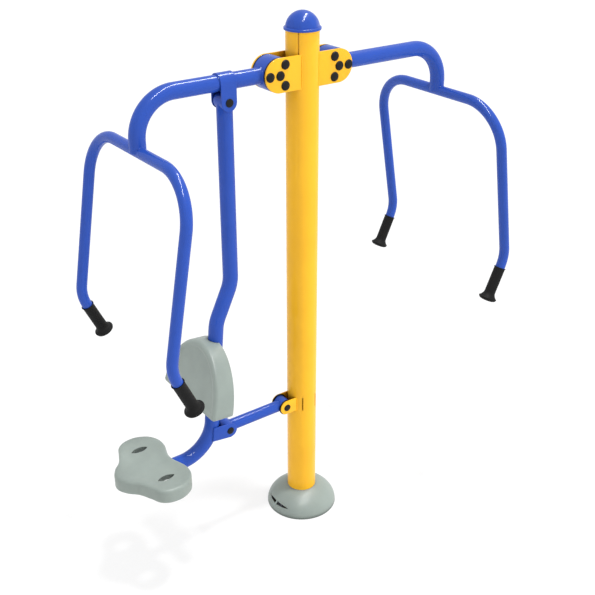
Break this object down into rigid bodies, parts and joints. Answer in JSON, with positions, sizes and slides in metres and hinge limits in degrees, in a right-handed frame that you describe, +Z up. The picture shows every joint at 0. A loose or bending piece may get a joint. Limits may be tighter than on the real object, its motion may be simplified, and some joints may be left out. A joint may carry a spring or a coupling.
{
  "type": "accessible chest press station",
  "caption": "Outdoor chest press on a post: one swinging handle frame lifts its own hanging seat with a backrest, the other serves an open wheelchair place.",
  "frame": {"origin": "centre of the base plate's underside, on the post's axis at ground level", "axes": "+Z up the post, +X along the arms from the hanging seat towards the wheelchair place, +Y to the rear"},
  "size_m": [1.7361, 0.8, 2.2181],
  "materials": {
    "yellow_paint": "gloss",
    "blue_paint": "gloss",
    "cap_blue": "satin",
    "grey_plastic": "satin",
    "black_plastic": "matte",
    "covered_bolt": "matte",
    "grip_rubber": "matte",
    "zinc_steel": "satin",
    "bearing_steel": "polished"
  },
  "bodies": {
    "post": {"base_plate": "zinc_steel", "anchor_bolt_1": "zinc_steel", "anchor_bolt_2": "zinc_steel", "anchor_bolt_3": "zinc_steel", "anchor_bolt_4": "zinc_steel", "base_cover": "grey_plastic", "post_tube": "yellow_paint", "post_cap": "cap_blue", "hub_plate_left_front": "yellow_paint", "hub_plate_left_rear": "yellow_paint", "hub_plate_right_front": "yellow_paint", "hub_plate_right_rear": "yellow_paint", "link_plate_front": "yellow_paint", "link_plate_rear": "yellow_paint", "link_post_bolt": "covered_bolt", "left_axle": "covered_bolt", "left_stop_bolt_1": "covered_bolt", "left_stop_bolt_2": "covered_bolt", "left_stop_bolt_3": "covered_bolt", "left_disc_front": "black_plastic", "left_disc_rear": "black_plastic", "right_axle": "covered_bolt", "right_stop_bolt_1": "covered_bolt", "right_stop_bolt_2": "covered_bolt", "right_stop_bolt_3": "covered_bolt", "right_disc_front": "black_plastic", "right_disc_rear": "black_plastic"},
    "left_arm": {"left_drum": "blue_paint", "left_bearing_front": "bearing_steel", "left_bearing_rear": "bearing_steel", "left_arm_tube": "blue_paint", "left_handle_frame": "blue_paint", "left_grip_front": "grip_rubber", "left_grip_rear": "grip_rubber", "hanger_strap": "blue_paint", "hanger_bolt": "covered_bolt"},
    "right_arm": {"right_drum": "blue_paint", "right_bearing_front": "bearing_steel", "right_bearing_rear": "bearing_steel", "right_arm_tube": "blue_paint", "right_handle_frame": "blue_paint", "right_grip_front": "grip_rubber", "right_grip_rear": "grip_rubber"},
    "seat_carrier": {"hanger_barrel": "blue_paint", "hanger_bush_front": "black_plastic", "hanger_bush_rear": "black_plastic", "hanger_tube": "blue_paint", "hanger_plug": "black_plastic", "ear_front": "blue_paint", "ear_rear": "blue_paint", "link_seat_bolt": "covered_bolt", "backrest": "grey_plastic", "back_mount": "blue_paint", "seat": "grey_plastic", "seat_mount": "blue_paint"},
    "link": {"lower_link": "blue_paint", "link_post_bush_front": "black_plastic", "link_post_bush_rear": "black_plastic", "link_seat_bush_front": "black_plastic", "link_seat_bush_rear": "black_plastic"}
  },
  "joints": [
    {"name": "left_arm_swing", "type": "hinge", "parent": "post", "child": "left_arm", "pos_m": [-0.135, 0, 2.007], "axis": [0, 1, 0], "range_deg": [0, 25]},
    {"name": "right_arm_swing", "type": "hinge", "parent": "post", "child": "right_arm", "pos_m": [0.135, 0, 2.007], "axis": [0, -1, 0], "range_deg": [0, 25]},
    {"name": "seat_carrier_swing", "type": "hinge", "parent": "left_arm", "child": "seat_carrier", "pos_m": [-0.3453, 0, 1.939], "axis": [0, 1, 0], "range_deg": [-26.1, 0]},
    {"name": "link_swing", "type": "hinge", "parent": "post", "child": "link", "pos_m": [-0.103, 0, 0.56005], "axis": [0, 1, 0], "range_deg": [0, 18.9]}
  ],
  "couplings": [
    {"joint": "seat_carrier_swing", "follows": "left_arm_swing", "ratio": -1.0425},
    {"joint": "link_swing", "follows": "left_arm_swing", "ratio": 0.7549}
  ]
}
